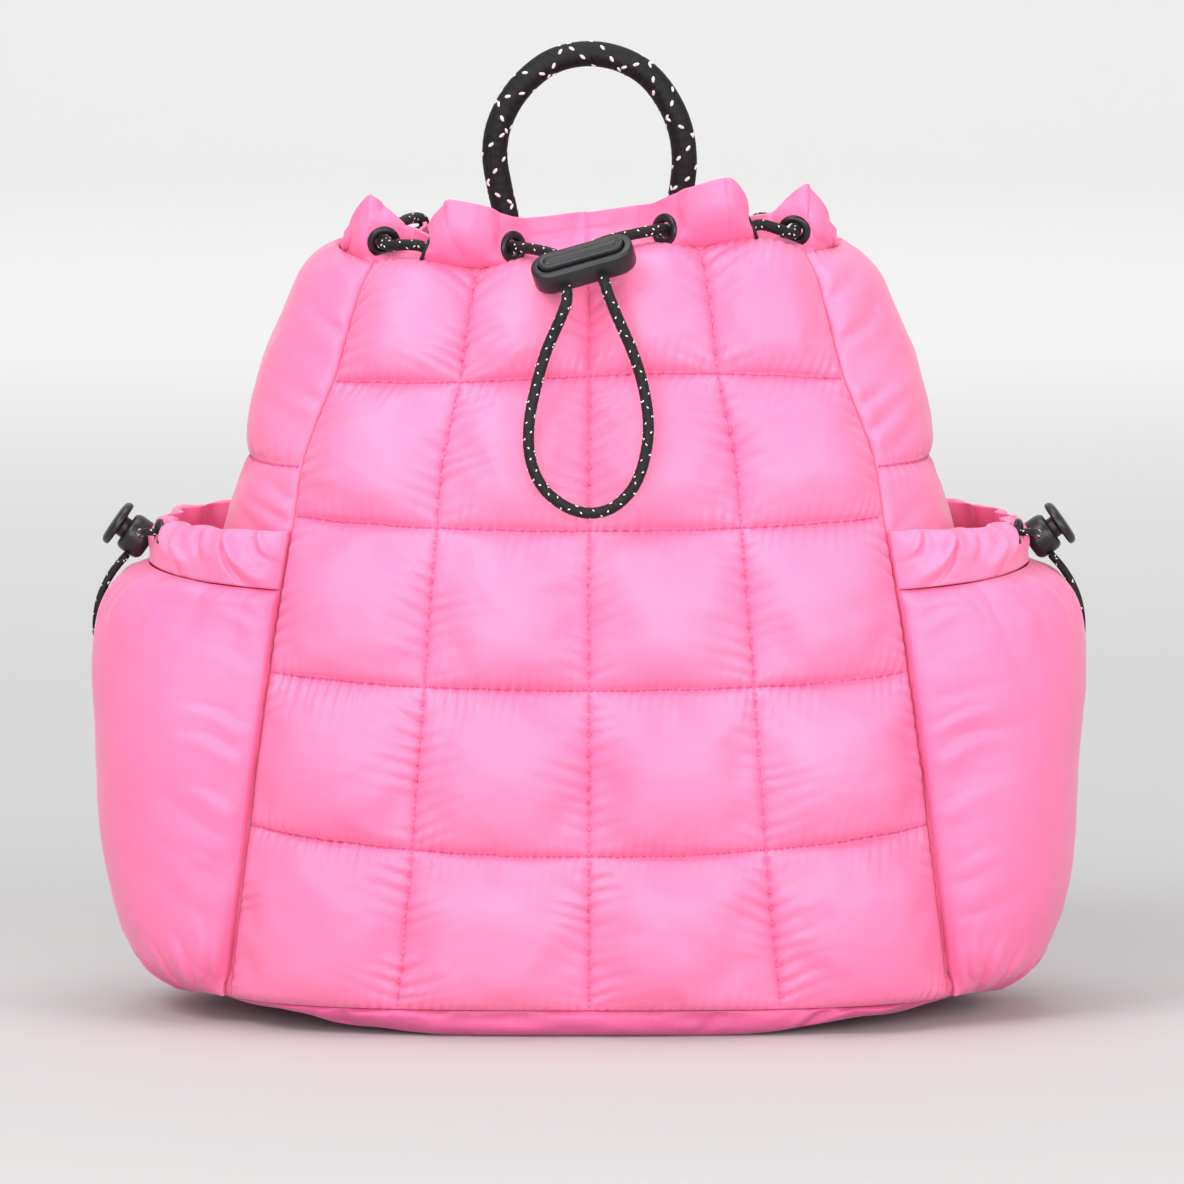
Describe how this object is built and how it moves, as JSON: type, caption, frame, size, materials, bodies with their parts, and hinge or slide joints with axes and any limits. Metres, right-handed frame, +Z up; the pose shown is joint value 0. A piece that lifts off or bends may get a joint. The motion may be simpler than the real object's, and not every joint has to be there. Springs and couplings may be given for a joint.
{
  "type": "quilted puffer backpack",
  "caption": "Quilted puffer backpack with a pleated drawcord collar and cord lock, gathered side pockets, rope handle and padded shoulder straps.",
  "frame": {"origin": "on the floor under the middle of the whole, straps included and free cords left out", "axes": "+Z up, -Y out of the quilted front, +X to the right of a viewer who faces the front"},
  "size_m": [0.3974, 0.2384, 0.3827],
  "materials": {
    "pink_nylon": "satin padded nylon",
    "black_cord": "braided, with pale flecks",
    "black_rope": "braided, with pale flecks",
    "black_webbing": "woven",
    "black_plastic": "satin"
  },
  "bodies": {
    "bag": {"front_panel": "pink_nylon", "side_panel_left": "pink_nylon", "side_panel_right": "pink_nylon", "back_panel": "pink_nylon", "base_panel": "pink_nylon", "collar": "pink_nylon", "pocket_left": "pink_nylon", "pocket_right": "pink_nylon", "pocket_rim_left": "pink_nylon", "pocket_rim_right": "pink_nylon", "shoulder_strap_left": "pink_nylon", "shoulder_strap_right": "pink_nylon", "drawcord_ring": "black_cord", "drawcord_loop": "black_cord", "pocket_cord_left": "black_cord", "pocket_cord_right": "black_cord", "pocket_feed_left": "black_cord", "pocket_feed_right": "black_cord", "rope_handle": "black_rope", "strap_webbing_left": "black_webbing", "strap_webbing_right": "black_webbing", "cord_lock_body": "black_plastic", "pocket_lock_body_left": "black_plastic", "pocket_lock_body_right": "black_plastic", "ladder_lock_left": "black_plastic", "ladder_lock_right": "black_plastic", "eyelet_1": "black_plastic", "eyelet_2": "black_plastic", "eyelet_3": "black_plastic", "eyelet_4": "black_plastic", "eyelet_5": "black_plastic", "eyelet_6": "black_plastic", "eyelet_7": "black_plastic", "eyelet_8": "black_plastic", "eyelet_9": "black_plastic", "eyelet_10": "black_plastic", "pocket_eyelet_left": "black_plastic", "pocket_eyelet_right": "black_plastic"},
    "front_button": {"cord_lock_button": "black_plastic"},
    "pocket_button_left": {"pocket_lock_button_left": "black_plastic"},
    "pocket_button_right": {"pocket_lock_button_right": "black_plastic"}
  },
  "joints": [
    {"name": "front_button_press", "type": "slide", "parent": "bag", "child": "front_button", "axis": [0.2203, 0.5878, -0.7784], "range_m": [0, 0.0021], "stiffness_N_per_m": 300},
    {"name": "pocket_button_left_press", "type": "slide", "parent": "bag", "child": "pocket_button_left", "axis": [0.8191, 0, -0.5736], "range_m": [0, 0.0021], "stiffness_N_per_m": 300},
    {"name": "pocket_button_right_press", "type": "slide", "parent": "bag", "child": "pocket_button_right", "axis": [-0.8191, 0, -0.5736], "range_m": [0, 0.0021], "stiffness_N_per_m": 300}
  ]
}
